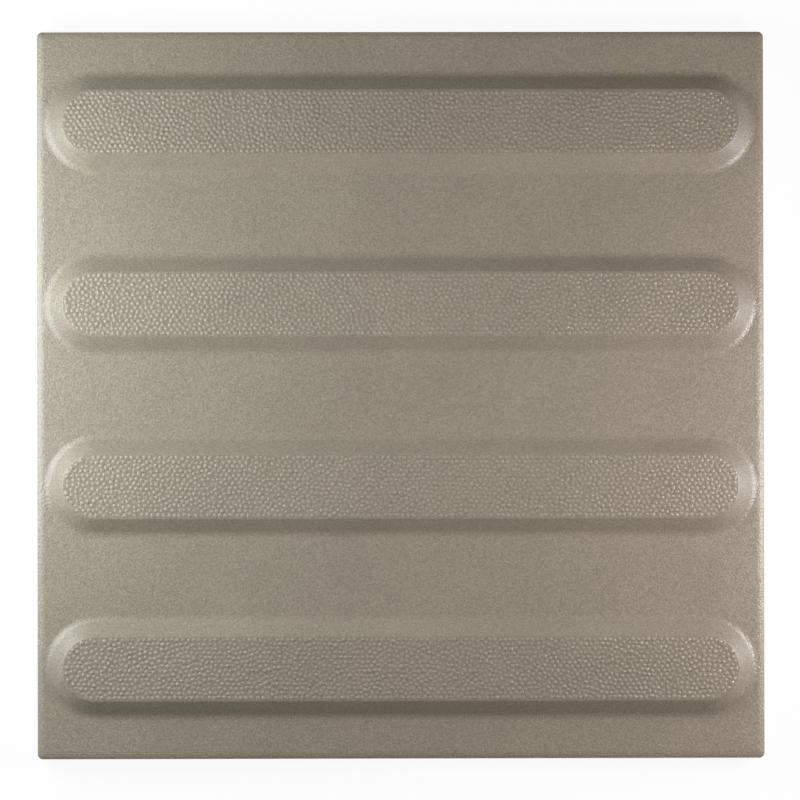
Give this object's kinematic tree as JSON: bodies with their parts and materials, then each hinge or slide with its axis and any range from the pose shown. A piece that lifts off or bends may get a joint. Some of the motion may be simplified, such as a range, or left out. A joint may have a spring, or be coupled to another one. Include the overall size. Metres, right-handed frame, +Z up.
{
  "type": "tactile paving slab",
  "caption": "Square directional tactile paving slab: raised flat-topped guidance bars with rounded ends and pipped tops, felt underfoot or by a cane.",
  "frame": {"origin": "middle of the underside, on the bedding plane", "axes": "+Z up out of the walked-on face, +X along the bars, +Y across the bars"},
  "size_m": [0.3, 0.3, 0.0174],
  "materials": {
    "porcelain": "unglazed full-body porcelain, warm taupe grey, fine-grained satin"
  },
  "bodies": {
    "root": {"tactile_slab": "porcelain"}
  },
  "joints": []
}
